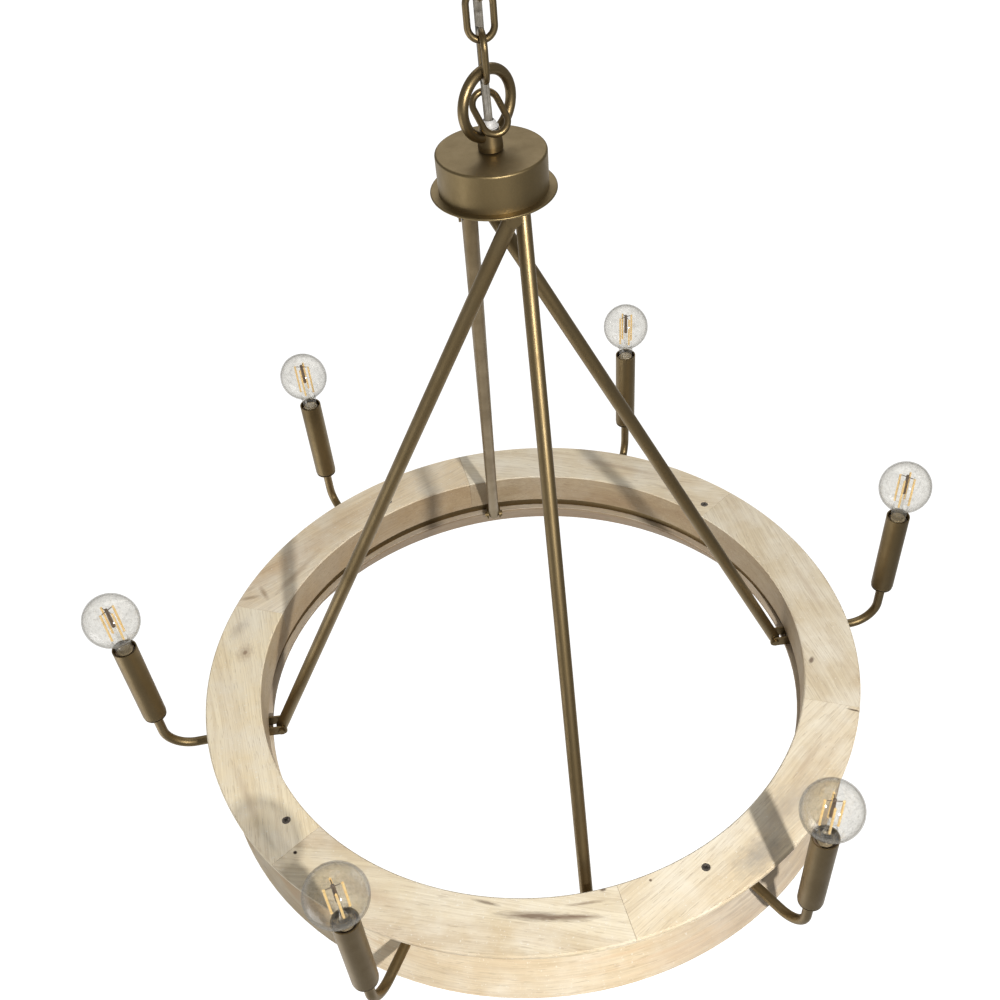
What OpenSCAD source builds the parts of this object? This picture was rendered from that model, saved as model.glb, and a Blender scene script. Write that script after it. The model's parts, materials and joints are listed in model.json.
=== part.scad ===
// Wagon wheel chandelier: a whitewashed wood rim hung on four rods, six candle lamps, chain and cord.
// Millimetres, +Z up. The origin is the middle of the ceiling fitting, on the ceiling plane.
// +X runs along the first lamp arm. The rim hangs level below, at -rim_drop.

/* [Rim] */
// ceiling plane down to the rim's top face
rim_drop = 803; // [760:1:900]
// outside diameter of the rim's top face
rim_d = 711.2; // [690:0.2:740]
// width of the rim's top face, outside to inside
rim_width = 59.1; // [54:0.1:64]
// height of the upper wood
upper_h = 38; // [34:1:42]
// thickness left at the upper wood's overhanging outer edge
lip_h = 5; // [3:0.5:8]
// gap between the upper and the lower wood, where arms and brackets leave
groove_h = 13; // [12.6:0.1:15]
// height of the flared lower wood below the gap
lower_h = 44; // [36:1:50]
// how far the lower wood spreads outward going down
lower_flare = 29; // [20:1:32]
// thickness of the lower wood, measured level
lower_t = 28; // [24:1:32]
// number of curved pieces glued into the upper wood
felloes = 6; // [6:1:6]
// angle of the first glue joint
joint_at = 35; // [30:1:40]
// open width of a glue joint
joint_gap = 0.3; // [0.2:0.1:0.6]
// rim's outside edge in to the circle of screws on the top face
screw_in = 38.8; // [36:0.2:43]

/* [Hub and rods] */
// rim's top face up to the underside of the hub plate
hub_rise = 546; // [500:1:580]
// hub plate diameter
plate_d = 97.4; // [94:0.1:104]
// hub plate thickness
plate_t = 2; // [1.5:0.1:3]
// hub cap diameter
cap_d = 84.6; // [80:0.2:90]
// hub cap height
cap_h = 29.5; // [22:0.5:34]
// rod diameter
rod_d = 12.7; // [10:0.1:13]
// radius of the rod pivots under the hub
hub_pivot_r = 24; // [22:0.5:28]
// angle each rod swings round on its way up from the rim to the hub
rod_swirl = 115; // [100:1:125]
// rim's inner wall in to the rod pivots at the rim
pivot_in = 13.5; // [11:0.5:16]

/* [Chain and loops] */
// outside diameter of the round loops
loop_d = 55.6; // [52:0.2:62]
// thickness of a loop
loop_w = 8; // [6:0.2:8]
// outside length of a chain link
link_l = 38; // [36:0.5:42]
// outside width of a chain link
link_w = 24; // [23:0.5:26]
// wire diameter of a chain link
wire_d = 5; // [4:0.1:5.2]
// turn of the canopy loop and the chain about the vertical
chain_turn = 0; // [-15:0.5:15]
// turn of the hub loop about the vertical
hub_loop_turn = 35; // [30:1:40]

/* [Lamps] */
// angles at which the six arms leave the rim
arm_at = [0, 61.7, 120, 180.3, 238.5, 298.4];
// rim's outside edge out to the lamp axes
lamp_out = 48.9; // [42:0.1:56]
// arm tube diameter
arm_d = 10; // [8:0.2:11]
// centre-line radius of the arm's bend
arm_bend = 29; // [24:1:34]
// rim's top face up to the bottom of a sleeve
sleeve_z = 14; // [8:0.5:20]
// sleeve diameter
sleeve_d = 24.5; // [22:0.1:26]
// sleeve length
sleeve_l = 105; // [95:1:115]
// globe diameter of a bulb
bulb_d = 54; // [48:1:60]
// bottom of a sleeve up to the middle of the globe
bulb_rise = 146; // [140:1:155]

/* [Ceiling fitting] */
// canopy cup diameter
canopy_d = 127; // [110:1:140]
// canopy cup height
canopy_h = 34; // [24:1:40]
// outside diameter of the threaded stems
stem_d = 9.6; // [9:0.1:10.4]
// half the distance between the strap's slots
strap_slot_r = 39.7; // [34:0.1:42]

/* [Hidden] */
$fn = 64;

// clearances
seat = 0.3;            // left between stacked metal pieces
slide = 0.1;           // left round a shaft or stem
sheet = 1.2;           // thickness of the sheet metal

// heights worked out from the sizes above
rim_z = -rim_drop;
groove_z = rim_z - upper_h;
lower_z = groove_z - groove_h;
bottom_z = lower_z - lower_h;
mid_z = groove_z - groove_h / 2;
rim_r = rim_d / 2;
bore_r = rim_r - rim_width;
screw_r = rim_r - screw_in;
rim_pivot_r = bore_r - pivot_in;
lamp_r = rim_r + lamp_out;
plate_z = rim_z + hub_rise;
cap_z = plate_z + plate_t;
cap_top_z = cap_z + cap_h;

// groove, band and core between the two woods
band_in = 5;           // band set back from the inner wall
band_t = 1.8;
band_play = 0.1;
band_r = bore_r + band_in;
core_in_r = band_r + band_t + 0.2;
overhang = 31.6;       // from the core out to the rim's edge
core_out_r = rim_r - overhang;
lower_in_r = bore_r - 2;
edge_r = 1.5;          // worn edges of the wood

// loops and links
loop_mid_r = (loop_d - loop_w) / 2;
link_end_r = (link_w - wire_d) / 2;
link_leg = link_l - link_w;
pitch = link_l - wire_d;
collar_h = 16;
collar_d = 19;
collar_tip_d = 16;
loop_neck = 7.1;       // part of a collar that shows between cup and loop
canopy_loop_z = -canopy_h - seat - loop_neck - loop_w / 2 - loop_mid_r;
loop_hang = (loop_w + wire_d) / 2 + seat;
link_hang = wire_d + seat;
upper_link_z = canopy_loop_z - loop_mid_r + loop_hang;   // top wire of each link
middle_link_z = upper_link_z - pitch + link_hang;
lower_link_z = middle_link_z - pitch + link_hang;
turn_play = 0.4;       // more room where the hub loop is turned against its link
hub_loop_z = lower_link_z - pitch + loop_hang + turn_play - loop_mid_r;
collar_z = cap_top_z + seat;
stem_bore = 7.2;
nut_d = 15.6;          // lock nuts of the stems, over the corners
nut_h = 4;
cord_hole = 8.2;
loose_x = 1.5;         // middle of the spare link
loose_y = -0.5;
loose_rise = 27.4;

// white cord bushings
bushing_d = 14.4;
flange_h = 1.6;
dome_d = 12;

// clevises and bolts
ear_h = 12;
ear_t = 2;
ear_gap = rod_d + 0.5;
bolt_d = 4;
bolt_head_d = 7.4;
bolt_head_h = 2.2;
hub_pivot_drop = 11;
hub_pivot_z = plate_z - hub_pivot_drop;
rim_bracket_z = mid_z;

// the line each rod takes, in the frame of its own rim bracket
rod_dx = hub_pivot_r * cos(rod_swirl) - rim_pivot_r;
rod_dy = hub_pivot_r * sin(rod_swirl);
rod_run = sqrt(rod_dx * rod_dx + rod_dy * rod_dy);
rod_rise = hub_pivot_z - rim_bracket_z;
rod_len = sqrt(rod_run * rod_run + rod_rise * rod_rise);
rod_turn = atan2(rod_dy, rod_dx);
rod_lean = atan2(rod_run, rod_rise);

// lamps
arm_wall = 1.2;
sleeve_bottom_z = rim_z + sleeve_z;
sleeve_wall = 1.2;
socket_d = sleeve_d - 2 * sleeve_wall - 0.6;
socket_l = 52;
socket_top = 5;        // top of the socket below the sleeve's rim
seat_disc_d = 23.4;
seat_disc_h = 1.8;
seat_boss_d = 18;
seat_boss_h = 0.5;
base_d = 11.7;         // small screw base of a bulb
base_l = 16;
skirt_d = 15.4;
skirt_l = 2.6;
neck_d = 17.4;
glass_t = 0.9;
bulb_z = sleeve_bottom_z + bulb_rise;
socket_top_z = sleeve_bottom_z + sleeve_l - socket_top;
base_z = socket_top_z + 0.4;
filament_r = 7.8;
filament_l = 36;
filament_d = 2.2;

brass = [0.47, 0.40, 0.27];
wood = [0.86, 0.78, 0.66];
inner_wood = [0.70, 0.62, 0.52];

// ---------- shared shapes ----------

// a tube standing on z = 0
module tube(d, bore, h) {
  difference() {
    cylinder(d = d, h = h);
    translate([0, 0, -1]) cylinder(d = bore, h = h + 2);
  }
}

// a pressed sheet cup, open upward, floor at z = 0
module cup(d, h, shoulder, hole) {
  rotate_extrude() difference() {
    union() {
      translate([shoulder, 0]) square([d / 2 - 2 * shoulder, shoulder]);
      translate([d / 2 - shoulder, shoulder]) circle(shoulder);
      translate([0, 0]) square([d / 2 - shoulder, shoulder]);
      translate([0, shoulder]) square([d / 2, h - shoulder]);
    }
    translate([0, sheet]) square([d / 2 - shoulder, shoulder]);
    translate([d / 2 - shoulder, shoulder]) circle(shoulder - sheet);
    translate([0, shoulder]) square([d / 2 - sheet, h]);
    translate([-1, -1]) square([hole / 2 + 1, h]);
  }
}

// one closed oval link in the XZ plane; z = 0 is the middle of its top wire
module chain_link() {
  translate([0, 0, -link_end_r]) rotate([90, 0, 0])
    rotate_extrude(angle = 180) translate([link_end_r, 0]) circle(d = wire_d);
  translate([0, 0, -link_end_r - link_leg]) rotate([-90, 0, 0])
    rotate_extrude(angle = 180) translate([link_end_r, 0]) circle(d = wire_d);
  for (side = [-1, 1])
    translate([side * link_end_r, 0, -link_end_r - link_leg]) cylinder(d = wire_d, h = link_leg);
}

// a round loop in the XZ plane about the origin, cast in one with its collar
module loop_with_collar(base) {
  difference() {
    union() {
      rotate([90, 0, 0]) rotate_extrude() translate([loop_mid_r, 0]) circle(d = loop_w);
      translate([0, 0, -base]) rotate_extrude()
        polygon([[0, 0], [collar_d / 2 - 1, 0], [collar_d / 2, 1], [collar_d / 2, 4.5],
          [collar_tip_d / 2, collar_h], [0, collar_h]]);
    }
    translate([0, 0, -base - 1]) cylinder(d = cord_hole, h = base);
    translate([0, 0, -base - 1]) cylinder(d = stem_d + 2 * slide, h = collar_h - 6);
  }
}

// flange and dome of a cord bushing standing on z = 0
module bushing() {
  difference() {
    rotate_extrude() {
      square([bushing_d / 2, flange_h]);
      translate([0, flange_h]) intersection() {
        circle(d = dome_d);
        square(dome_d);
      }
    }
    translate([0, 0, -1]) cylinder(d = cord_hole - 0.6, h = dome_d);
  }
}

// U-shaped clevis: ears run along +X past the pivot at the origin, base at x = -reach
module clevis(reach, base) {
  difference() {
    union() {
      for (side = [-1, 1]) translate([0, side * (ear_gap + ear_t) / 2, 0]) {
        rotate([90, 0, 0]) cylinder(d = ear_h, h = ear_t, center = true);
        translate([-reach / 2, 0, 0]) cube([reach, ear_t, ear_h], center = true);
      }
      translate([-reach + base / 2, 0, 0]) cube([base, ear_gap + 2 * ear_t, ear_h], center = true);
    }
    rotate([90, 0, 0]) cylinder(d = bolt_d + 2 * slide, h = 60, center = true);
  }
}

// flush pin with low riveted ends, through the pivot at the origin along Y
module clevis_pin() rotate([90, 0, 0]) {
  cylinder(d = bolt_d, h = ear_gap + 2 * ear_t + 1.2, center = true);
  for (side = [-1, 1]) translate([0, 0, side * (ear_gap / 2 + ear_t + 0.5)])
    cylinder(d = bolt_d + 2, h = 0.6, center = true);
}

// cross bolt with its head and nut, through the pivot at the origin along Y
module clevis_bolt() {
  outer = ear_gap / 2 + ear_t;
  rotate([90, 0, 0]) cylinder(d = bolt_d, h = 2 * outer + 4.6, center = true);
  translate([0, -outer, 0]) rotate([90, 0, 0]) cylinder(d = bolt_head_d, h = bolt_head_h);
  translate([0, outer, 0]) rotate([-90, 0, 0]) cylinder(d = 7.6, h = 2.6, $fn = 6);
}

// puts its children at the rim pivot of rod i, +X pointing away from the hub along the rod's line
module at_rim_pivot(i) {
  rotate(90 * i) translate([rim_pivot_r, 0, rim_bracket_z]) rotate(rod_turn + 180) children();
}

// puts its children at the hub pivot of rod i, in the same direction
module at_hub_pivot(i) {
  rotate(90 * i) rotate(rod_swirl) translate([hub_pivot_r, 0, hub_pivot_z])
    rotate(rod_turn + 180 - rod_swirl) children();
}

module at_lamp(i) {
  rotate(arm_at[i]) translate([lamp_r, 0, 0]) children();
}

// ---------- ceiling fitting ----------

// slotted strap against the ceiling, with the threaded stem that hangs from it
strap_w = 20;
strap_t = 2;
strap_end = 14.3;      // from the middle of a slot to the strap's end
module mounting_strap() color("silver") {
  slot_l = 14;
  slot_w = 4.8;
  difference() {
    translate([0, 0, -strap_t / 2]) cube([2 * (strap_slot_r + strap_end), strap_w, strap_t], center = true);
    cylinder(d = stem_d + 2 * slide, h = 10, center = true);
    for (side = [-1, 1]) translate([side * strap_slot_r, 0, -5]) {
      for (end = [-1, 1]) translate([end * (slot_l - slot_w) / 2, 0, 0]) cylinder(d = slot_w, h = 10);
      translate([0, 0, 5]) cube([slot_l - slot_w, slot_w, 10], center = true);
    }
  }
  canopy_stem();
}

// hollow threaded stem with the lock nut below the strap and the one on the cup's floor
module canopy_stem() difference() {
  union() {
    translate([0, 0, -canopy_h - 8.8]) cylinder(d = stem_d, h = canopy_h + 8.3);
    translate([0, 0, -strap_t - seat - nut_h]) cylinder(d = nut_d, h = nut_h, $fn = 6);
    translate([0, 0, -canopy_h + sheet + seat]) cylinder(d = nut_d, h = nut_h, $fn = 6);
  }
  translate([0, 0, -canopy_h - 10]) cylinder(d = stem_bore, h = canopy_h + 12);
}

module canopy_cup() color(brass)
  translate([0, 0, -canopy_h]) cup(canopy_d, canopy_h, 9, stem_d + 2 * slide);

module canopy_loop() color(brass)
  translate([0, 0, canopy_loop_z]) rotate(chain_turn) mirror([0, 0, 1])
    loop_with_collar(-canopy_loop_z - canopy_h - seat);

module canopy_bushing() color("white")
  translate([0, 0, -canopy_h - collar_h - 2 * seat]) mirror([0, 0, 1]) bushing();

// ---------- chain ----------

module chain_link_upper() color(brass)
  translate([0, 0, upper_link_z]) rotate(chain_turn + 90) chain_link();

module chain_link_middle() color(brass)
  translate([0, 0, middle_link_z]) rotate(chain_turn) chain_link();

module chain_link_lower() color(brass)
  translate([0, 0, lower_link_z]) rotate(chain_turn + 90) chain_link();

// ---------- cord ----------

cord_w = 6.4;          // flat twin cord
cord_t = 3.4;
cord_sides = 12;
// route from the ceiling stem down to the hub: [across, behind the chain, height]
cord_route = [[0, 0, -2], [0, 0, -28], [0, 0, -50], [0, 0, -60], [0.1, 2.6, -66], [0.4, 8.2, -74],
  [0.7, 13, -82], [0.8, 14.8, -91], [0.8, 15.2, -104], [0.8, 15.2, -126], [0.8, 15.2, -146],
  [0.8, 15.2, -158], [0.8, 14.8, -167], [0.7, 12.4, -175], [0.5, 8.4, -183], [0.2, 3.8, -191],
  [0, 0.7, -198], [0, 0, -204], [0, 0, -212], [0, 0, -236]];
cord_steps = 3;

// smooth curve through four neighbouring route points
function blend4(a, b, c, d, t) = 0.5 * ((2 * b) + (c - a) * t + (2 * a - 5 * b + 4 * c - d) * t * t
  + (3 * b - a - 3 * c + d) * t * t * t);
function route(i) = cord_route[min(max(i, 0), len(cord_route) - 1)];
cord_line = concat([for (i = [0:len(cord_route) - 2]) for (k = [0:cord_steps - 1])
  blend4(route(i - 1), route(i), route(i + 1), route(i + 2), k / cord_steps)],
  [cord_route[len(cord_route) - 1]]);
function unit(v) = v / norm(v);
function along(i) = let (n = len(cord_line) - 1)
  unit(cord_line[min(i + 1, n)] - cord_line[max(i - 1, 0)]);
// the flat of the cord stays across the chain
function cord_ring(i) = let (t = along(i), n = unit(cross(t, [1, 0, 0])), w = unit(cross(n, t)))
  [for (k = [0:cord_sides - 1]) let (a = 360 * k / cord_sides)
    cord_line[i] + w * (cord_w / 2) * cos(a) + n * (cord_t / 2) * sin(a) * (1 - 0.28 * pow(sin(a), 8))];

module cord() color([0.42, 0.40, 0.37]) rotate(chain_turn) {
  n = len(cord_line);
  pts = [for (i = [0:n - 1]) each cord_ring(i)];
  sides = [for (i = [0:n - 2]) for (k = [0:cord_sides - 1]) let (m = (k + 1) % cord_sides)
    each [[i * cord_sides + k, i * cord_sides + m, (i + 1) * cord_sides + m],
      [i * cord_sides + k, (i + 1) * cord_sides + m, (i + 1) * cord_sides + k]]];
  ends = [[for (k = [cord_sides - 1:-1:0]) k], [for (k = [0:cord_sides - 1]) (n - 1) * cord_sides + k]];
  polyhedron(points = pts, faces = concat(sides, ends));
}

// ---------- hub ----------

// loop and collar with the stem that runs down through cap and plate
module hub_loop() color(brass) {
  translate([0, 0, hub_loop_z]) rotate(hub_loop_turn) loop_with_collar(hub_loop_z - collar_z);
  translate([0, 0, plate_z - 7]) tube(stem_d, stem_bore, collar_z + collar_h - 7.3 - plate_z + 7);
}

// the spare link that rests on the bushing inside the hub loop, round the cord
module loose_link() color(brass)
  translate([loose_x, loose_y, collar_z + loose_rise]) rotate([0, 0, -9]) rotate([-47, 0, 0])
    rotate([0, -25, 0]) translate([0, 0, pitch / 2]) chain_link();

module hub_bushing() color("white")
  translate([0, 0, collar_z + collar_h + seat]) bushing();

module hub_cap() color(brass)
  translate([0, 0, cap_top_z]) mirror([0, 0, 1]) cup(cap_d, cap_h, 1.8, stem_d + 2 * slide);

module hub_plate() color(brass) translate([0, 0, plate_z]) difference() {
  rotate_extrude() {
    square([plate_d / 2 - plate_t / 2, plate_t]);
    translate([plate_d / 2 - plate_t / 2, plate_t / 2]) circle(d = plate_t);
  }
  translate([0, 0, -1]) cylinder(d = stem_d + 2 * slide, h = plate_t + 2);
}

module hub_brackets() color(brass) for (i = [0:3]) at_hub_pivot(i)
  rotate([0, 90, 0]) clevis(hub_pivot_drop, ear_t);

module rim_brackets() color(brass) intersection() {
  for (i = [0:3]) at_rim_pivot(i) mirror([1, 0, 0]) clevis(band_r - rim_pivot_r + 3, 5.5);
  translate([0, 0, bottom_z]) cylinder(r = band_r - band_play, h = rim_z - bottom_z, $fn = 360);
}

// a rod leaning in from its rim pivot to its hub pivot, both ends rounded
module rod(i) color(brass) at_rim_pivot(i) rotate([0, -rod_lean, 0]) difference() {
  union() {
    cylinder(d = rod_d, h = rod_len);
    for (z = [0, rod_len]) translate([0, 0, z]) sphere(d = rod_d);
  }
  for (z = [0, rod_len]) translate([0, 0, z]) rotate([90, 0, 0])
    cylinder(d = bolt_d + 2 * slide, h = 40, center = true);
}
module rod_1() rod(0);
module rod_2() rod(1);
module rod_3() rod(2);
module rod_4() rod(3);

// bolts of the rim brackets, pins of the hub brackets and the nut that clamps the hub together
module fasteners() color(brass) {
  for (i = [0:3]) {
    at_rim_pivot(i) clevis_bolt();
    at_hub_pivot(i) clevis_pin();
  }
  translate([0, 0, plate_z - seat - 5]) difference() {
    cylinder(d = 15.6, h = 5, $fn = 6);
    translate([0, 0, -1]) cylinder(d = stem_d + 2 * slide, h = 7);
  }
}

// ---------- rim ----------

// angles of the countersunk screws seen on the top face
screw_at = [37.1, 114.3, 209.5, 290.8];
screw_d = 4;
screw_head_d = 8.6;
screw_l = 58;

module upper_section() {
  under_r = core_out_r + 8;
  polygon([[bore_r, rim_z - edge_r], [bore_r + edge_r, rim_z], [rim_r - edge_r, rim_z],
    [rim_r, rim_z - edge_r], [rim_r, rim_z - lip_h], [under_r, groove_z], [bore_r, groove_z]]);
}

module lower_section() {
  out_r = core_out_r;
  polygon([[lower_in_r, lower_z], [core_in_r, lower_z], [core_in_r, groove_z], [core_out_r, groove_z],
    [out_r, lower_z], [out_r + lower_flare - 1, bottom_z + edge_r],
    [out_r + lower_flare - edge_r - 1, bottom_z],
    [out_r + lower_flare - lower_t, bottom_z], [lower_in_r, lower_z - 3]]);
}

// one curved piece of the upper wood, with the screw holes that fall in it
module felloe(i) color(wood) difference() {
  trim = atan(joint_gap / 2 / rim_r);
  rotate(joint_at + 360 / felloes * i + trim)
    rotate_extrude(angle = 360 / felloes - 2 * trim, $fn = 180) upper_section();
  for (a = screw_at) rotate(a) translate([screw_r, 0, 0]) {
    translate([0, 0, groove_z - 1]) cylinder(d = screw_d + 2 * slide, h = upper_h + 2);
    translate([0, 0, rim_z - 3.2]) cylinder(d1 = screw_d, d2 = screw_head_d + 1.6, h = 3.6);
  }
}
module felloe_1() felloe(0);
module felloe_2() felloe(1);
module felloe_3() felloe(2);
module felloe_4() felloe(3);
module felloe_5() felloe(4);
module felloe_6() felloe(5);

// flared lower wood with the core that carries the upper wood and the arms
module lower_rim() color(inner_wood) difference() {
  rotate_extrude($fn = 180) lower_section();
  for (a = arm_at) rotate(a) translate([core_in_r - 5, 0, mid_z]) rotate([0, 90, 0])
    cylinder(d = arm_d + 2 * slide, h = core_out_r - core_in_r + 10);
  for (a = screw_at) rotate(a) translate([screw_r, 0, rim_z - screw_l - 1])
    cylinder(d = screw_d + 2 * slide, h = screw_l);
}

// flat hoop set back in the gap; it carries the rod brackets and the arm ends
module rim_band() color(brass) translate([0, 0, lower_z + band_play])
  difference() {
    cylinder(r = band_r + band_t, h = groove_h - 2 * band_play, $fn = 180);
    translate([0, 0, -1]) cylinder(r = band_r, h = groove_h + 2, $fn = 180);
  }

// countersunk screws with a cross recess
module rim_screws() color("dimgray") for (a = screw_at) rotate(a) translate([screw_r, 0, rim_z - 0.5])
  difference() {
    union() {
      translate([0, 0, -2.6]) cylinder(d1 = screw_d, d2 = screw_head_d, h = 2.6);
      translate([0, 0, -screw_l + 4]) cylinder(d = screw_d, h = screw_l - 4.2);
      translate([0, 0, -screw_l + 0.6]) cylinder(d1 = 0.6, d2 = screw_d, h = 3.4);
    }
    for (turn = [0, 90]) rotate(turn + 20) translate([0, 0, -0.4]) cube([4.6, 1, 2], center = true);
  }

// ---------- lamps ----------

// the arm's own plane: x out from the lamp axis, z up; one solid or bore of diameter d
module arm_run(d, extra) {
  inner = -(lamp_r - band_r - band_t - slide) - extra;
  translate([inner, 0, mid_z]) rotate([0, 90, 0]) cylinder(d = d, h = -arm_bend - inner);
  translate([-arm_bend, 0, mid_z + arm_bend]) rotate([90, 0, 0]) rotate([0, 0, -90])
    rotate_extrude(angle = 90) translate([arm_bend, 0]) circle(d = d);
  translate([0, 0, mid_z + arm_bend])
    cylinder(d = d, h = socket_top_z - socket_l - seat - mid_z - arm_bend + extra);
}

// bent tube with the disc that the sleeve stands on
module arm(i) color(brass) at_lamp(i) difference() {
  union() {
    arm_run(arm_d, 0);
    translate([0, 0, sleeve_bottom_z - seat - seat_boss_h - seat_disc_h]) rotate_extrude()
      polygon([[0, 0], [seat_disc_d / 2 - 1, 0], [seat_disc_d / 2, 1], [seat_disc_d / 2, seat_disc_h],
        [seat_boss_d / 2, seat_disc_h], [seat_boss_d / 2, seat_disc_h + seat_boss_h],
        [0, seat_disc_h + seat_boss_h]]);
  }
  arm_run(arm_d - 2 * arm_wall, 1);
}
module arm_1() arm(0);
module arm_2() arm(1);
module arm_3() arm(2);
module arm_4() arm(3);
module arm_5() arm(4);
module arm_6() arm(5);

// tall candle sleeve, open at the top, rounded in at the bottom
module sleeve(i) color(brass) at_lamp(i) translate([0, 0, sleeve_bottom_z]) difference() {
  curl = 2;
  rotate_extrude() {
    square([sleeve_d / 2 - curl, curl]);
    translate([sleeve_d / 2 - curl, curl]) circle(curl);
    translate([0, curl]) square([sleeve_d / 2, sleeve_l - curl]);
  }
  translate([0, 0, curl]) cylinder(d = sleeve_d - 2 * sleeve_wall, h = sleeve_l);
  translate([0, 0, -1]) cylinder(d = arm_d + 2 * slide, h = curl + 2);
}
module sleeve_1() sleeve(0);
module sleeve_2() sleeve(1);
module sleeve_3() sleeve(2);
module sleeve_4() sleeve(3);
module sleeve_5() sleeve(4);
module sleeve_6() sleeve(5);

// the six lamp holders inside the sleeves
module sockets() color("white") for (i = [0:5]) at_lamp(i) translate([0, 0, socket_top_z - socket_l])
  difference() {
    rotate_extrude() polygon([[0, 0], [socket_d / 2 - 1, 0], [socket_d / 2, 1], [socket_d / 2, socket_l - 1],
      [socket_d / 2 - 1, socket_l], [0, socket_l]]);
    translate([0, 0, socket_l - base_l - 2]) cylinder(d = base_d + 2 * slide, h = base_l + 3);
  }

// one closed glass envelope: neck, shoulder and globe
module bulb_glass(i) color([0.85, 0.9, 0.92, 0.35]) at_lamp(i) translate([0, 0, bulb_z]) {
  low = base_z + skirt_l + slide - bulb_z;
  meet = -sqrt(pow(bulb_d / 2, 2) - pow(neck_d / 2, 2));
  rotate_extrude($fn = 96) difference() {
    intersection() {
      union() {
        circle(d = bulb_d);
        polygon([[0, low], [skirt_d / 2, low], [neck_d / 2, meet - 6], [neck_d / 2, meet - 3],
          [neck_d / 2 + 1.7, meet - 0.2], [neck_d / 2 + 5, meet + 2.2], [0, meet + 6]]);
      }
      translate([0, -bulb_d]) square([bulb_d, 2 * bulb_d]);
    }
    circle(d = bulb_d - 2 * glass_t);
    polygon([[-1, low - 1], [skirt_d / 2 - glass_t, low - 1], [skirt_d / 2 - glass_t, low],
      [neck_d / 2 - glass_t, meet - 6], [neck_d / 2 - glass_t, meet + 3], [-1, meet + 3]]);
  }
}
module bulb_glass_1() bulb_glass(0);
module bulb_glass_2() bulb_glass(1);
module bulb_glass_3() bulb_glass(2);
module bulb_glass_4() bulb_glass(3);
module bulb_glass_5() bulb_glass(4);
module bulb_glass_6() bulb_glass(5);

// screw shell, contact and the skirt that takes the glass
module bulb_base(i) color([0.75, 0.68, 0.5]) at_lamp(i) translate([0, 0, base_z]) rotate_extrude()
  polygon([[0, -base_l + 0.6], [2.4, -base_l + 0.6], [4, -base_l + 2.4], [base_d / 2, -base_l + 4],
    [base_d / 2, 0], [skirt_d / 2, 1.2], [skirt_d / 2, skirt_l], [0, skirt_l]]);
module bulb_base_1() bulb_base(0);
module bulb_base_2() bulb_base(1);
module bulb_base_3() bulb_base(2);
module bulb_base_4() bulb_base(3);
module bulb_base_5() bulb_base(4);
module bulb_base_6() bulb_base(5);

// glass stem with four upright filaments held between two wire crosses
module bulb_filament(i) color([1, 0.75, 0.35]) at_lamp(i) translate([0, 0, bulb_z - 4]) {
  foot = base_z + skirt_l + 2 * slide - bulb_z + 4;
  half = filament_l / 2;
  wire = 0.8;
  translate([0, 0, foot]) rotate_extrude() polygon([[0, 0], [6, 0], [5.4, 5], [3.2, 13], [2.2, 18],
    [1.6, half - foot + 2], [0, half - foot + 3]]);
  for (q = [0:3]) rotate(90 * q + 45) {
    translate([filament_r, 0, -half]) cylinder(d = filament_d, h = filament_l);
    for (z = [-half, half]) translate([0, 0, z]) rotate([0, 90, 0]) cylinder(d = wire, h = filament_r);
  }
}
module bulb_filament_1() bulb_filament(0);
module bulb_filament_2() bulb_filament(1);
module bulb_filament_3() bulb_filament(2);
module bulb_filament_4() bulb_filament(3);
module bulb_filament_5() bulb_filament(4);
module bulb_filament_6() bulb_filament(5);

// ---------- drawing ----------

mounting_strap();
canopy_cup();
canopy_loop();
canopy_bushing();
chain_link_upper();
chain_link_middle();
chain_link_lower();
cord();
hub_loop();
loose_link();
hub_bushing();
hub_cap();
hub_plate();
hub_brackets();
rim_brackets();
rod_1();
rod_2();
rod_3();
rod_4();
fasteners();
rim_band();
felloe_1();
felloe_2();
felloe_3();
felloe_4();
felloe_5();
felloe_6();
lower_rim();
rim_screws();
arm_1();
arm_2();
arm_3();
arm_4();
arm_5();
arm_6();
sleeve_1();
sleeve_2();
sleeve_3();
sleeve_4();
sleeve_5();
sleeve_6();
sockets();
bulb_glass_1();
bulb_glass_2();
bulb_glass_3();
bulb_glass_4();
bulb_glass_5();
bulb_glass_6();
bulb_base_1();
bulb_base_2();
bulb_base_3();
bulb_base_4();
bulb_base_5();
bulb_base_6();
bulb_filament_1();
bulb_filament_2();
bulb_filament_3();
bulb_filament_4();
bulb_filament_5();
bulb_filament_6();
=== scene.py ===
import json
import math
import random
import bpy
import bmesh
from mathutils import Vector, Matrix


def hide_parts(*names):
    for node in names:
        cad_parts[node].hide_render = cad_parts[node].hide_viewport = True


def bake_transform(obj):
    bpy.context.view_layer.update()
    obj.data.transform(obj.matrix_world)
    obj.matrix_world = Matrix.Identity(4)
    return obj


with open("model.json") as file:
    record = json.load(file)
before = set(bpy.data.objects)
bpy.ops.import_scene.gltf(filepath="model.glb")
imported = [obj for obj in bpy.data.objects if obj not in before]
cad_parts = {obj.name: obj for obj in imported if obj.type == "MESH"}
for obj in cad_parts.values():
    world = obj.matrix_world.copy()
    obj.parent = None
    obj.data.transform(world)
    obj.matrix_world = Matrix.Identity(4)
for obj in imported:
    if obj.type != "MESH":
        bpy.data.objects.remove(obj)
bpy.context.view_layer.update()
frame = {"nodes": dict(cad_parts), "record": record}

# Lengths are metres. Azimuths are degrees from +X, seen from above.
NODES = frame["nodes"]
JOINT_AT = {j["name"]: j["pos_m"] for j in frame["record"]["behaviour"]["joints"]}
PIECES_ROUND = 6                # as many felloes as lamps
RIM_Z = -0.803                  # top face of the rim
LOWER_Z = RIM_Z - 0.051         # top face of the lower ring, under the gap


# ---------- material helpers ----------

def new_mat(name):
    m = bpy.data.materials.new(name)
    m.use_nodes = True
    nt = m.node_tree
    return m, nt, nt.nodes["Principled BSDF"]


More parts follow.
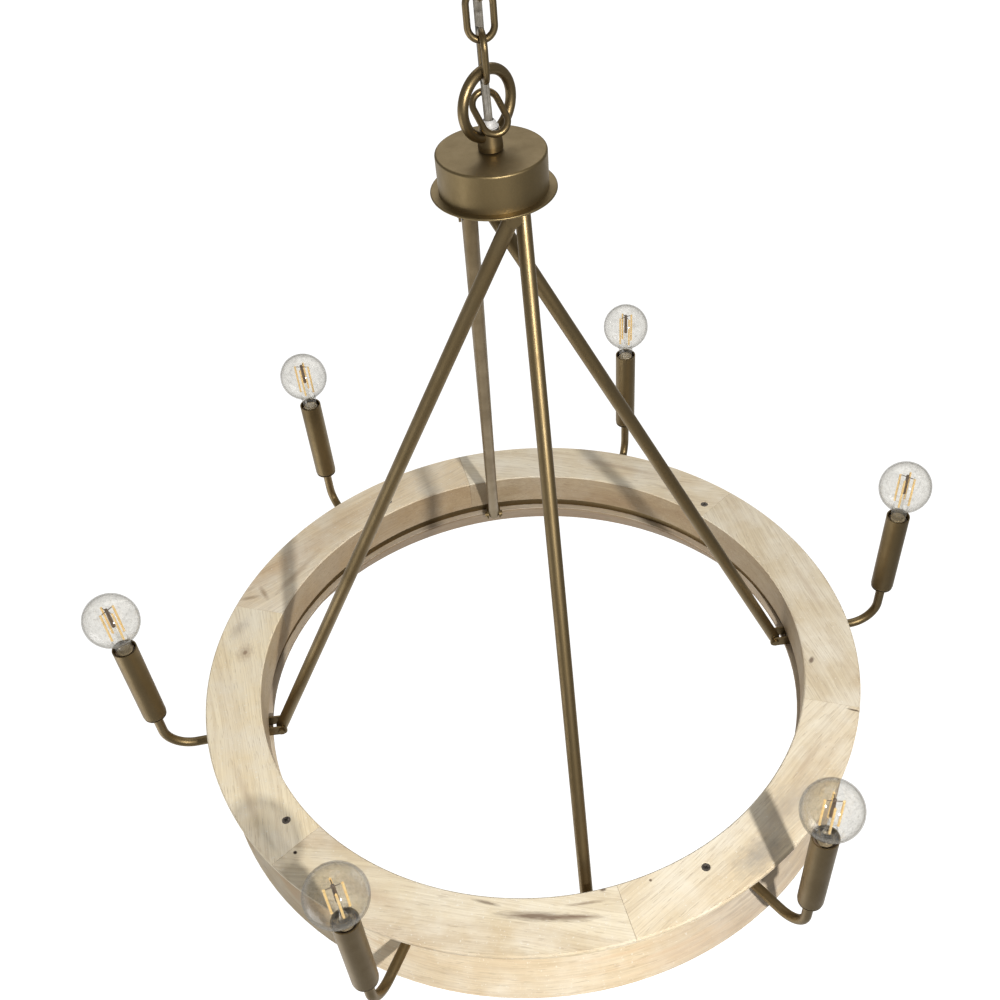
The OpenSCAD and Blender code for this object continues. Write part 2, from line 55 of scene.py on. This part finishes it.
def put(nt, kind, **kw):
    n = nt.nodes.new(kind)
    for k, v in kw.items():
        setattr(n, k, v)
    return n


def feed(nt, node, values):
    """Sets or links the node's first inputs; None leaves one alone."""
    for i, v in enumerate(values):
        if isinstance(v, (int, float)):
            node.inputs[i].default_value = v
        elif isinstance(v, tuple):
            node.inputs[i].default_value = v if len(v) == 4 else v + (1,)
        elif v is not None:
            nt.links.new(v, node.inputs[i])
    return node.outputs[0]


def object_coords(nt):
    return put(nt, "ShaderNodeTexCoord").outputs["Object"]


def mix_rgb(nt, fac, a, b, blend="MIX"):
    return feed(nt, put(nt, "ShaderNodeMixRGB", blend_type=blend), (fac, a, b))


def math_node(nt, op, a, b=None, clamp=False, c=None):
    return feed(nt, put(nt, "ShaderNodeMath", operation=op, use_clamp=clamp), (a, b, c))


def times(nt, a, b):
    return math_node(nt, "MULTIPLY", a, b)


def mix_shader(nt, fac, a, b):
    return feed(nt, put(nt, "ShaderNodeMixShader"), (fac, a, b))


def ramp(nt, fac, stops):
    n = put(nt, "ShaderNodeValToRGB")
    cr = n.color_ramp
    while len(cr.elements) < len(stops):
        cr.elements.new(0.5)
    for e, (p, c) in zip(cr.elements, stops):
        e.position = p
        e.color = ((c, c, c) if isinstance(c, (int, float)) else c) + (1,)
    return feed(nt, n, (fac,))


def mapping(nt, vec, scale=(1, 1, 1), loc=(0, 0, 0), rot=(0, 0, 0)):
    n = put(nt, "ShaderNodeMapping")
    nt.links.new(vec, n.inputs["Vector"])
    n.inputs["Scale"].default_value = scale
    n.inputs["Location"].default_value = loc
    n.inputs["Rotation"].default_value = rot
    return n.outputs[0]


def noise(nt, vec, stretch, size=1.0, detail=4.0, rough=0.5, loc=(0, 0, 0)):
    """Noise over coordinates stretched by a factor for each axis, or one for all."""
    if isinstance(stretch, (int, float)):
        stretch = (stretch, stretch, stretch)
    n = put(nt, "ShaderNodeTexNoise")
    nt.links.new(mapping(nt, vec, scale=stretch, loc=loc), n.inputs["Vector"])
    n.inputs["Scale"].default_value = size
    n.inputs["Detail"].default_value = detail
    n.inputs["Roughness"].default_value = rough
    return n.outputs["Fac"]


def bump(nt, height, strength, distance):
    n = put(nt, "ShaderNodeBump")
    n.inputs["Strength"].default_value = strength
    n.inputs["Distance"].default_value = distance
    nt.links.new(height, n.inputs["Height"])
    return n.outputs[0]


def axes(nt, vec):
    n = put(nt, "ShaderNodeSeparateXYZ")
    nt.links.new(vec, n.inputs[0])
    return n.outputs


def join_axes(nt, x, y=None, z=None):
    return feed(nt, put(nt, "ShaderNodeCombineXYZ"), (x, y, z))


def length2(nt, a, b):
    return math_node(nt, "SQRT", math_node(nt, "ADD", times(nt, a, a), times(nt, b, b)))


# ---------- cord: one piece for each chain joint ----------

# flat twin cord, in millimetres down from the ceiling, as in the part
CORD_ROUTE = [
    (0, 0, -2), (0, 0, -28), (0, 0, -50), (0, 0, -60), (0.1, 2.6, -66), (0.4, 8.2, -74),
    (0.7, 13, -82), (0.8, 14.8, -91), (0.8, 15.2, -104), (0.8, 15.2, -126), (0.8, 15.2, -146),
    (0.8, 15.2, -158), (0.8, 14.8, -167), (0.7, 12.4, -175), (0.5, 8.4, -183), (0.2, 3.8, -191),
    (0, 0.7, -198), (0, 0, -204), (0, 0, -212), (0, 0, -236)]
CORD_STEPS = 6                  # rings between two points of the route
CORD_SIDES = 32
CORD_HALF_W, CORD_HALF_T = 0.0032, 0.0017
GROOVE_DEPTH, GROOVE_W = 0.36, 0.26     # shares of the half sizes, between the two wires
CORD_BENDS = [                  # piece, bodies it joins, heights where its bend starts and ends
    ("cord_canopy", "canopy", "link_upper", -0.070, -0.100),
    ("cord_upper", "link_upper", "link_middle", -0.108, -0.130),
    ("cord_middle", "link_middle", "link_lower", -0.135, -0.157),
    ("cord_hub", "link_lower", "fixture", -0.163, -0.198)]
CORD_CUTS = (-0.105, -0.132, -0.160)    # heights where one piece ends and the next begins


def cord_line():
    """A smooth curve through the route's points."""
    pts = [Vector(p) / 1000 for p in CORD_ROUTE]
    last = len(pts) - 1
    line = []
    for i in range(last):
        a, b, c, d = pts[max(i - 1, 0)], pts[i], pts[i + 1], pts[min(i + 2, last)]
        for k in range(CORD_STEPS):
            t = k / CORD_STEPS
            line.append(0.5 * (2 * b + (c - a) * t + (2 * a - 5 * b + 4 * c - d) * t * t
                               + (3 * b - a - 3 * c + d) * t ** 3))
    return line + [pts[last]]


def cord_ring(line, i):
    """The twin cord's section, with its flat across the chain."""
    t = (line[min(i + 1, len(line) - 1)] - line[max(i - 1, 0)]).normalized()
    n = t.cross(Vector((1, 0, 0))).normalized()
    w = n.cross(t).normalized()
    ring = []
    for k in range(CORD_SIDES):
        a = 2 * math.pi * k / CORD_SIDES
        groove = 1 - GROOVE_DEPTH * math.exp(-(math.cos(a) / GROOVE_W) ** 2)
        ring.append(line[i] + w * CORD_HALF_W * math.cos(a) + n * CORD_HALF_T * math.sin(a) * groove)
    return ring


def cord_piece(name, line, first, last):
    bm = bmesh.new()
    rings = [[bm.verts.new(p) for p in cord_ring(line, i)] for i in range(first, last + 1)]
    for lo, hi in zip(rings, rings[1:]):
        for k in range(len(lo)):
            m = (k + 1) % len(lo)
            bm.faces.new((lo[k], hi[k], hi[m], lo[m])).smooth = True
    bm.faces.new(rings[0])
    bm.faces.new(list(reversed(rings[-1])))
    bmesh.ops.recalc_face_normals(bm, faces=bm.faces)
    me = bpy.data.meshes.new(name)
    bm.to_mesh(me)
    bm.free()
    ob = bpy.data.objects.new(name, me)
    bpy.context.scene.collection.objects.link(ob)
    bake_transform(ob)
    return ob


def cord():
    line = cord_line()
    cuts = [min(range(len(line)), key=lambda i: abs(line[i].z - z)) for z in CORD_CUTS]
    ends = [0] + cuts + [len(line) - 1]
    cords = [cord_piece(name, line, ends[i], ends[i + 1])
             for i, (name, body_a, body_b, z_start, z_end) in enumerate(CORD_BENDS)]
    for ob in cords:
        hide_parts("cord")
    return cords


cords = cord()


# ---------- camera: the photograph's own view ----------

CAM_AT = Vector((-0.10110, -0.82974, 0.17631))
CAM_RIGHT = Vector((0.97960, -0.19792, -0.03475))
CAM_FORWARD = Vector((0.11016, 0.67357, -0.73087))
CAM_LENS, CAM_SENSOR = 41.948, 36.0     # millimetres
CAM_SHIFT = (-0.060, 0.100)


def photo_camera():
    data = bpy.data.cameras.new("photo_camera")
    cam = bpy.data.objects.new("photo_camera", data)
    bpy.context.scene.collection.objects.link(cam)
    bpy.context.scene.camera = cam
    right, forward = CAM_RIGHT.normalized(), CAM_FORWARD.normalized()
    up = right.cross(forward).normalized()
    cam.matrix_world = Matrix([(right[i], up[i], -forward[i], CAM_AT[i]) for i in range(3)] + [(0, 0, 0, 1)])
    data.sensor_width = CAM_SENSOR
    data.lens = CAM_LENS
    data.shift_x, data.shift_y = CAM_SHIFT
    data.clip_start, data.clip_end = 0.02, 60.0


photo_camera()
bpy.context.scene.view_settings.view_transform = "Standard"


# ---------- studio ----------

FLOOR_Z, FLOOR_HALF = -2.6, 14.0
PAPER = 0.42                    # grey of the paper under its own glow
GLOW_FROM_Y, GLOW_DEPTH = -1.9, 2.4     # the glow grows from here on, and is full this much further back
FADE_FROM_X, FADE_SLANT = 1.5, 0.578    # it fades over the next metre to the right, along a slanting line
WORLD_LIGHT = 0.31
KEY_AT, KEY_POWER, KEY_RADIUS = (0.265, -1.33, 0.255), 100, 0.028
KEY_COLOUR = (1.0, 0.985, 0.955)
SOFT_BOXES = [                  # name, place, what it faces, size, power
    ("window_left", (-2.2, -0.9, -1.9), (0, 0, -0.6), 1.5, 15),
    ("overhead", (0.33, 2.0, 1.75), (0, 0, -0.3), 2.2, 22)]


def paper_material():
    """Pale paper that glows behind the chandelier and less in front of it and far to the right."""
    m, nt, bsdf = new_mat("studio_paper")
    x, y, _ = axes(nt, object_coords(nt))
    back = math_node(nt, "DIVIDE", math_node(nt, "ADD", y, -GLOW_FROM_Y), GLOW_DEPTH, clamp=True)
    right = math_node(nt, "SUBTRACT", math_node(nt, "MULTIPLY_ADD", y, -FADE_SLANT, c=x), FADE_FROM_X, clamp=True)
    glow = ramp(nt, back, [(0.0, 0.20), (0.35, 0.30), (0.74, 0.97), (1.0, 0.97)])
    side = ramp(nt, right, [(0.0, 1.0), (0.7, 0.22)])
    bsdf.inputs["Base Color"].default_value = (PAPER, PAPER, PAPER, 1)
    bsdf.inputs["Roughness"].default_value = 0.9
    bsdf.inputs["Specular IOR Level"].default_value = 0.0
    nt.links.new(times(nt, glow, side), bsdf.inputs["Emission Color"])
    bsdf.inputs["Emission Strength"].default_value = 1.0
    return m


def studio_floor():
    me = bpy.data.meshes.new("studio_floor")
    bm = bmesh.new()
    bmesh.ops.create_grid(bm, x_segments=2, y_segments=2, size=FLOOR_HALF)
    bm.to_mesh(me)
    bm.free()
    me.materials.append(paper_material())
    floor = bpy.data.objects.new("studio_floor", me)
    floor.location = (0, 0, FLOOR_Z)
    bpy.context.scene.collection.objects.link(floor)


def white_world():
    world = bpy.data.worlds.new("studio")
    bpy.context.scene.world = world
    world.use_nodes = True
    background = world.node_tree.nodes["Background"]
    background.inputs["Color"].default_value = (1.0, 1.0, 1.0, 1)
    background.inputs["Strength"].default_value = WORLD_LIGHT


def add_light(name, kind, loc, power):
    data = bpy.data.lights.new(name, kind)
    data.energy = power
    ob = bpy.data.objects.new(name, data)
    ob.location = loc
    bpy.context.scene.collection.objects.link(ob)
    return ob, data


def soft_box(name, loc, target, size, power):
    ob, data = add_light(name, "AREA", loc, power)
    data.size = size
    ob.rotation_euler = (Vector(target) - Vector(loc)).to_track_quat("-Z", "Y").to_euler()
    ob.visible_camera = False


def key_light():
    """The small lamp that throws the rods' and bulbs' shadows on the rim."""
    _, data = add_light("key", "POINT", KEY_AT, KEY_POWER)
    data.shadow_soft_size = KEY_RADIUS
    data.color = KEY_COLOUR


studio_floor()
white_world()
key_light()
for box in SOFT_BOXES:
    soft_box(*box)


# ---------- wood ----------

FIRST_GLUE_LINE = 35            # azimuth where felloe 1 begins
SKEW = 4                        # how far a piece's grain may lie off its chord, degrees
WAVES = 0.07                    # how far the grain wanders sideways
MEAN_R = 0.34                   # where the lower ring's grain is at its true length
GREY_FROM, GREY_SPAN = -84, 60  # azimuths over which the lower ring turns grey
TINTS = [(1.0, 0.99, 0.97), (1.03, 0.98, 0.92), (1.10, 1.07, 0.99),
         (0.97, 0.95, 0.90), (0.98, 0.955, 0.915), (0.92, 0.91, 0.89)]
INNER_WALL_R = 0.2968           # what is nearer the axis is the upper ring's inner wall
LOWER_WALL_R, LOWER_WALL_SLOPE = 0.2985, 0.71   # the same for the lower ring, which spreads as it goes down
KNOT = (0.13, 0.085, 0.055)
MARKS = [
    # for each felloe: azimuth, radius, half width, half length, soft edge, turn, raggedness, colour, strength
    [(60.0, 0.33, 0.005, 0.07, 0.9, 2, 0.9, (0.45, 0.34, 0.23), 0.5),
     (45.0, 0.315, 0.004, 0.04, 0.9, -4, 0.9, (0.40, 0.3, 0.2), 0.55)],
    [(152.5, 0.345, 0.004, 0.016, 0.8, 60, 0.6, (0.35, 0.25, 0.16), 0.7),
     (150.5, 0.332, 0.004, 0.016, 0.8, -50, 0.6, (0.35, 0.25, 0.16), 0.7),
     (143.0, 0.312, 0.006, 0.05, 0.8, 4, 0.8, (0.42, 0.31, 0.2), 0.6)],
    [(166.5, 0.321, 0.012, 0.016, 0.7, 0, 1.0, (0.46, 0.35, 0.24), 0.55),
     (166.5, 0.321, 0.003, 0.004, 0.5, 0, 0.4, (0.3, 0.21, 0.14), 0.8),
     (160.5, 0.338, 0.010, 0.020, 0.9, 15, 0.9, (0.42, 0.36, 0.3), 0.45),
     (200.0, 0.335, 0.006, 0.05, 0.9, 3, 0.9, (0.55, 0.43, 0.3), 0.5)],
    [(-99.0, 0.3165, 0.0060, 0.050, 0.75, 7, 1.0, (0.18, 0.12, 0.08), 0.88),
     (-93.0, 0.3205, 0.0030, 0.030, 0.8, 9, 1.0, (0.22, 0.15, 0.1), 0.85),
     (-91.0, 0.3085, 0.0022, 0.022, 0.8, 3, 1.0, (0.25, 0.17, 0.11), 0.7),
     (-108.5, 0.3035, 0.0022, 0.016, 0.7, 8, 0.8, KNOT, 0.7),
     (-87.6, 0.2985, 0.0025, 0.004, 0.6, 0, 0.6, KNOT, 0.85),
     (-144.0, 0.332, 0.0022, 0.0024, 0.4, 0, 0.0, (0.03, 0.02, 0.015), 1.0),
     (-128.0, 0.325, 0.012, 0.05, 0.9, 5, 0.9, (0.55, 0.42, 0.29), 0.5)],
    [(-79.0, 0.304, 0.0018, 0.0018, 0.5, 0, 0.0, KNOT, 0.9),
     # painted shadow: the next two grey patches stand for the front right sleeve's shadow on the rim
     (-60.5, 0.338, 0.018, 0.040, 0.9, 0, 1.4, (0.36, 0.32, 0.27), 0.75),
     (-50.0, 0.325, 0.022, 0.050, 0.95, 6, 1.4, (0.42, 0.37, 0.31), 0.55),
     (-25.8, 0.350, 0.010, 0.0014, 0.6, 4, 0.6, (0.08, 0.05, 0.03), 0.9),
     (-40.0, 0.318, 0.006, 0.045, 0.9, 4, 0.8, (0.5, 0.38, 0.26), 0.5)],
    [(-14.7, 0.305, 0.0032, 0.006, 0.6, 20, 0.8, (0.15, 0.10, 0.07), 0.85),
     (4.0, 0.33, 0.006, 0.05, 0.9, -3, 0.9, (0.5, 0.39, 0.27), 0.45)]]


def spot(nt, obj, az, r, across, along, edge, turn, rag):
    """1 inside an oval mark on the rim's top at azimuth az and radius r, 0 outside."""
    deep = 0.05     # so it also shows a little way down the edge
    here = mapping(nt, obj, rot=(0, 0, -math.radians(az)), loc=(-r, 0, -RIM_Z))
    here = mapping(nt, here, rot=(0, 0, math.radians(turn)))
    here = mapping(nt, here, scale=(1 / across, 1 / along, 1 / deep))
    n = put(nt, "ShaderNodeVectorMath", operation="LENGTH")
    nt.links.new(here, n.inputs[0])
    d = n.outputs["Value"]
    if rag:
        torn = noise(nt, here, (3.0, 3.0, 1.0), 1.2, 4.0, 0.6, loc=(az, r * 9, 0))
        d = math_node(nt, "ADD", d, times(nt, math_node(nt, "SUBTRACT", torn, 0.5), rag))
    return ramp(nt, d, [(1.0 - edge, 1.0), (1.0, 0.0)])


def darker(nt, where, col, by):
    """Multiplies the colour where a mask is 1."""
    return mix_rgb(nt, where, col, mix_rgb(nt, 1.0, col, by, "MULTIPLY"))


def wood_colour(nt, grain, obj, off, tint, figure=1.0):
    """Whitewashed wood from coordinates whose Y runs along the grain: colour, relief and fibre."""
    def tinted(*c):
        return tuple(v * t for v, t in zip(c, tint))

    broad = noise(nt, grain, (16, 1.3, 16), 1.5, 4.0, 0.5, off)
    rings = noise(nt, grain, (150, 3.0, 110), 1.2, 3.0, 0.55, off)
    fibre = noise(nt, grain, (620, 14, 620), 1.2, 3.0, 0.6, off)
    pores = noise(nt, grain, (900, 60, 900), 1.0, 1.0, 0.5, off)
    col = ramp(nt, broad, [(0.28, tinted(0.62, 0.49, 0.335)), (0.45, tinted(0.76, 0.655, 0.48)),
                           (0.62, tinted(0.83, 0.745, 0.58))])
    ring_f = ramp(nt, rings, [(0.30, 1.0), (0.46, 0.30), (0.60, 0.0)])
    col = mix_rgb(nt, times(nt, ring_f, 0.30 * figure), col, tinted(0.52, 0.40, 0.27))
    # whitewash lying on the surface in cloudy patches
    wash = noise(nt, obj, 14, 1.3, 5.0, 0.6, off)
    col = mix_rgb(nt, ramp(nt, wash, [(0.42, 0.0), (0.68, 0.55)]), col, (0.87, 0.82, 0.71))
    # short open pores along the grain and a fine fibre pattern
    pore_f = ramp(nt, pores, [(0.30, 1.0), (0.36, 0.0)])
    col = mix_rgb(nt, times(nt, pore_f, 0.30), col, (0.34, 0.25, 0.17))
    fibre_tone = ramp(nt, fibre, [(0.32, (0.84, 0.815, 0.78)), (0.6, (1.03, 1.03, 1.03))])
    col = mix_rgb(nt, 0.8, col, fibre_tone, "MULTIPLY")
    # dusty white flecks left by sanding
    dust = noise(nt, obj, 420, 1.0, 2.0, 0.5, off)
    col = mix_rgb(nt, ramp(nt, dust, [(0.66, 0.0), (0.72, 0.5)]), col, (0.90, 0.87, 0.80))
    relief = math_node(nt, "SUBTRACT", times(nt, fibre, 0.5), times(nt, pore_f, 0.6))
    return col, relief, fibre


def finish_wood(nt, bsdf, col, relief, fibre):
    nt.links.new(col, bsdf.inputs["Base Color"])
    nt.links.new(ramp(nt, fibre, [(0.3, 0.66), (0.7, 0.84)]), bsdf.inputs["Roughness"])
    bsdf.inputs["Specular IOR Level"].default_value = 0.22
    nt.links.new(bump(nt, relief, 0.30, 0.0007), bsdf.inputs["Normal"])


def felloe_material(k):
    """The grain of each curved piece runs along its own chord, a little wavy."""
    m, nt, bsdf = new_mat("whitewashed_wood_%d" % (k + 1))
    obj = object_coords(nt)
    rnd = random.Random(11 + k)
    off = tuple(rnd.uniform(-5, 5) for _ in range(3))
    middle = FIRST_GLUE_LINE + 360 / PIECES_ROUND * (k + 0.5)
    turn = -math.radians(middle + rnd.uniform(-SKEW, SKEW))
    chord = mapping(nt, obj, rot=(0, 0, turn), loc=(0, 0, 0.8))
    waves = noise(nt, chord, (2.5, 1.0, 2.5), 2.0, 2.0, 0.5, off)
    warp = put(nt, "ShaderNodeVectorMath", operation="MULTIPLY_ADD")
    nt.links.new(join_axes(nt, math_node(nt, "SUBTRACT", waves, 0.5)), warp.inputs[0])
    warp.inputs[1].default_value = (WAVES, 0.0, 0.0)
    nt.links.new(chord, warp.inputs[2])
    col, relief, fibre = wood_colour(nt, warp.outputs[0], obj, off, TINTS[k])
    for *place, colour, strength in MARKS[k]:
        col = mix_rgb(nt, times(nt, spot(nt, obj, *place), strength), col, colour)
    # the inner wall is made a darker brown-grey than the top
    x, y, _ = axes(nt, obj)
    inner = math_node(nt, "LESS_THAN", length2(nt, x, y), INNER_WALL_R)
    finish_wood(nt, bsdf, darker(nt, inner, col, (0.53, 0.47, 0.405)), relief, fibre)
    return m


def lower_wood_material():
    """The grain follows the ring; tan streaks, and greyer towards the front right."""
    m, nt, bsdf = new_mat("whitewashed_wood_lower")
    obj = object_coords(nt)
    x, y, z = axes(nt, obj)
    radius = length2(nt, x, y)
    azimuth = math_node(nt, "ARCTAN2", y, x)
    grain = join_axes(nt, radius, times(nt, azimuth, MEAN_R), z)
    off = (3.1, 1.7, -2.2)
    col, relief, fibre = wood_colour(nt, grain, obj, off, (0.91, 0.86, 0.80), 0.8)
    streak = noise(nt, grain, (60, 5.0, 110), 1.0, 3.0, 0.5, off)
    col = mix_rgb(nt, ramp(nt, streak, [(0.52, 0.0), (0.66, 0.55)]), col, (0.66, 0.47, 0.29))
    from_start = math_node(nt, "ADD", times(nt, azimuth, 180 / math.pi), -GREY_FROM)
    grey = ramp(nt, math_node(nt, "DIVIDE", from_start, GREY_SPAN, clamp=True),
                [(0.0, 0.0), (0.3, 0.85), (1.0, 0.75)])
    fleck = ramp(nt, noise(nt, grain, (160, 12, 160), 1.4, 4.0, 0.65, off), [(0.35, 1.0), (0.6, 0.5)])
    col = mix_rgb(nt, times(nt, grey, fleck), col, (0.41, 0.335, 0.265))
    # painted shade: the lower ring's inner wall, which faces down and inwards, and the part of it standing up
    # into the gap under the upper ring are darkened
    in_cone = math_node(nt, "LESS_THAN", math_node(nt, "ADD", radius, times(nt, z, LOWER_WALL_SLOPE)),
                        LOWER_WALL_R + LOWER_WALL_SLOPE * LOWER_Z)
    wall = times(nt, in_cone, math_node(nt, "LESS_THAN", z, LOWER_Z - 0.0006))
    col = darker(nt, wall, col, (0.56, 0.49, 0.41))
    # painted shade in the gap under the upper ring
    gap_shade = math_node(nt, "GREATER_THAN", z, LOWER_Z + 0.0002)
    finish_wood(nt, bsdf, darker(nt, gap_shade, col, (0.5, 0.43, 0.35)), relief, fibre)
    return m


# ---------- metals and plastics ----------

def brass_material(name, base=(0.215, 0.158, 0.080), dark=(0.185, 0.134, 0.066), light=(0.245, 0.184, 0.098),
                   rough=0.44, brushed=None):
    """Aged satin brass; brushed stretches fine lines along the axis with the small factor."""
    m, nt, bsdf = new_mat(name)
    obj = object_coords(nt)
    patina = noise(nt, obj, (26, 26, 15.6), 1.0, 6.0, 0.62)
    fine = noise(nt, obj, 900, 1.0, 2.0, 0.5)
    col = ramp(nt, patina, [(0.32, dark), (0.5, base), (0.74, light)])
    col = mix_rgb(nt, 0.5, col, ramp(nt, fine, [(0.3, 0.85), (0.7, 1.0)]), "MULTIPLY")
    nt.links.new(col, bsdf.inputs["Base Color"])
    bsdf.inputs["Metallic"].default_value = 1.0
    nt.links.new(ramp(nt, patina, [(0.3, rough + 0.10), (0.7, rough - 0.06)]), bsdf.inputs["Roughness"])
    if brushed:
        relief = bump(nt, noise(nt, obj, brushed, 1.0, 3.0, 0.6), 0.12, 0.0006)
    else:
        relief = bump(nt, fine, 0.06, 0.0004)
    nt.links.new(relief, bsdf.inputs["Normal"])
    return m


def mottled(name, scale, dark, light, metallic, rough, relief, worn=None):
    """A slightly uneven surface between two colours, with bright worn places if a third is given."""
    m, nt, bsdf = new_mat(name)
    tone = noise(nt, object_coords(nt), scale, 1.0, 4.0, 0.6)
    stops = [(0.3, dark), (0.6, light), (0.8, worn)] if worn else [(0.3, dark), (0.7, light)]
    nt.links.new(ramp(nt, tone, stops), bsdf.inputs["Base Color"])
    bsdf.inputs["Metallic"].default_value = metallic
    nt.links.new(ramp(nt, tone, [(0.3, rough + 0.06), (0.7, rough - 0.06)]), bsdf.inputs["Roughness"])
    nt.links.new(bump(nt, tone, relief, 0.0003), bsdf.inputs["Normal"])
    return m


# ---------- glass and filaments ----------

STICKS_FROM_R = 0.0064          # the amber sticks stand outside this, the wires and the stem inside it
STEM_R, STEM_TOP = 0.0062, RIM_Z + 0.152


def transparent(nt, colour):
    n = put(nt, "ShaderNodeBsdfTransparent")
    n.inputs["Color"].default_value = colour + (1,)
    return n.outputs[0]


def see_through(nt, tint, gloss_rough, fac):
    """A glossy film over a see-through sheet, which stays cheap to trace."""
    gloss = put(nt, "ShaderNodeBsdfGlossy")
    gloss.inputs["Color"].default_value = (0.90, 0.90, 0.90, 1)
    gloss.inputs["Roughness"].default_value = gloss_rough
    return mix_shader(nt, fac, transparent(nt, tint), gloss.outputs[0])


def edge_gloss(nt, blend, power, amount):
    weight = put(nt, "ShaderNodeLayerWeight")
    weight.inputs["Blend"].default_value = blend
    return times(nt, math_node(nt, "POWER", weight.outputs["Facing"], power), amount)


def glass_material():
    m, nt, bsdf = new_mat("clear_glass")
    nt.nodes.remove(bsdf)
    obj = object_coords(nt)
    streak = noise(nt, obj, (55, 55, 110), 1.0, 5.0, 0.65)
    haze = ramp(nt, streak, [(0.44, 0.02), (0.60, 0.04), (0.68, 0.13)])
    clear = see_through(nt, (0.945, 0.94, 0.925), 0.07,
                        math_node(nt, "ADD", edge_gloss(nt, 0.35, 2.6, 0.22), haze, clamp=True))
    # the globe bends light away, so its shadow is deeper than the glass looks
    shadow_ray = put(nt, "ShaderNodeLightPath").outputs["Is Shadow Ray"]
    shaded = mix_shader(nt, shadow_ray, clear, transparent(nt, (0.87, 0.87, 0.88)))
    # a grey film over the glass: dust in fine specks, and a greying that grows towards the globe's edge
    dust = put(nt, "ShaderNodeBsdfDiffuse")
    dust.inputs["Color"].default_value = (0.26, 0.24, 0.20, 1)
    specks = ramp(nt, noise(nt, obj, 260, 1.0, 4.0, 0.7), [(0.50, 0.015), (0.66, 0.12)])
    veil = math_node(nt, "ADD", edge_gloss(nt, 0.5, 4.0, 0.60), specks, clamp=True)
    nt.links.new(mix_shader(nt, veil, shaded, dust.outputs[0]), nt.nodes["Material Output"].inputs["Surface"])
    return m


def filament_material(k):
    """Amber sticks with a painted glow, and dark support wires, round a clear glass stem on the lamp's own axis.
    """
    m, nt, bsdf = new_mat("amber_filament_%d" % (k + 1))
    obj = object_coords(nt)
    lamp_x, lamp_y, _ = JOINT_AT["bulb_turn_%d" % (k + 1)]
    x, y, z = axes(nt, mapping(nt, obj, loc=(-lamp_x, -lamp_y, 0)))
    radius = length2(nt, x, y)
    tone = noise(nt, obj, (350, 350, 900), 1.0, 3.0, 0.6)
    amber = ramp(nt, tone, [(0.3, (0.86, 0.53, 0.16)), (0.7, (1.0, 0.78, 0.40))])
    stick = math_node(nt, "GREATER_THAN", radius, STICKS_FROM_R)
    nt.links.new(mix_rgb(nt, stick, (0.16, 0.11, 0.07), amber), bsdf.inputs["Base Color"])
    bsdf.inputs["Roughness"].default_value = 0.45
    # painted glow: the amber sticks shine faintly though the lamps are unlit
    nt.links.new(amber, bsdf.inputs["Emission Color"])
    nt.links.new(times(nt, stick, 0.28), bsdf.inputs["Emission Strength"])
    nt.links.new(bump(nt, tone, 0.15, 0.0003), bsdf.inputs["Normal"])
    stem = times(nt, math_node(nt, "LESS_THAN", radius, STEM_R), math_node(nt, "LESS_THAN", z, STEM_TOP))
    clear = see_through(nt, (0.96, 0.955, 0.94), 0.08,
                        math_node(nt, "ADD", edge_gloss(nt, 0.45, 1.8, 0.45), 0.05, clamp=True))
    nt.links.new(mix_shader(nt, stem, bsdf.outputs[0], clear), nt.nodes["Material Output"].inputs["Surface"])
    return m


# ---------- a material for every piece ----------

def dress(material, *nodes):
    for name in nodes:
        for s in NODES[name].material_slots:
            s.material = material


brass = brass_material("aged_brass")
brass_sleeve = brass_material("aged_brass_sleeve", base=(0.195, 0.143, 0.072), dark=(0.175, 0.127, 0.062),
                              light=(0.215, 0.160, 0.083), brushed=(500, 500, 8))
brass_chain = brass_material("aged_brass_chain", rough=0.38)
brass_hub = brass_material("aged_brass_hub", base=(0.225, 0.168, 0.084), dark=(0.200, 0.148, 0.073),
                           light=(0.250, 0.188, 0.098), rough=0.47)
screw = mottled("dark_screw", 400, (0.05, 0.04, 0.035), (0.14, 0.12, 0.10), 0.8, 0.45, 0.2,
                worn=(0.3, 0.27, 0.23))
steel = mottled("zinc_steel", 120, (0.46, 0.46, 0.45), (0.68, 0.69, 0.68), 1.0, 0.4, 0.1)
white = mottled("white_bushing", 260, (0.44, 0.43, 0.42), (0.60, 0.59, 0.58), 0.0, 0.4, 0.05)
socket = mottled("lamp_holder", 300, (0.09, 0.06, 0.035), (0.20, 0.14, 0.085), 0.0, 0.55, 0.1)
base_metal = mottled("bulb_base_metal", 200, (0.46, 0.36, 0.21), (0.66, 0.54, 0.35), 0.55, 0.3, 0.05)
cord_cover = mottled("grey_cord", (500, 500, 90), (0.11, 0.098, 0.078), (0.18, 0.163, 0.135), 0.0, 0.5, 0.1)
glass = glass_material()

dress(steel, "mounting_strap")
dress(white, "canopy_bushing", "hub_bushing")
dress(brass_hub, "canopy_cup", "hub_cap", "hub_plate")
dress(brass_chain, "canopy_loop", "hub_loop", "chain_link_upper", "chain_link_middle", "chain_link_lower",
      "loose_link")
dress(brass, "hub_brackets", "rim_brackets", "rod_1", "rod_2", "rod_3", "rod_4", "fasteners", "rim_band")
dress(lower_wood_material(), "lower_rim")
dress(screw, "rim_screws")
dress(socket, "sockets")
for k in range(PIECES_ROUND):
    number = "_%d" % (k + 1)
    dress(felloe_material(k), "felloe" + number)
    dress(brass, "arm" + number)
    dress(brass_sleeve, "sleeve" + number)
    dress(glass, "bulb_glass" + number)
    dress(base_metal, "bulb_base" + number)
    dress(filament_material(k), "bulb_filament" + number)
for ob in cords:
    ob.data.materials.append(cord_cover)
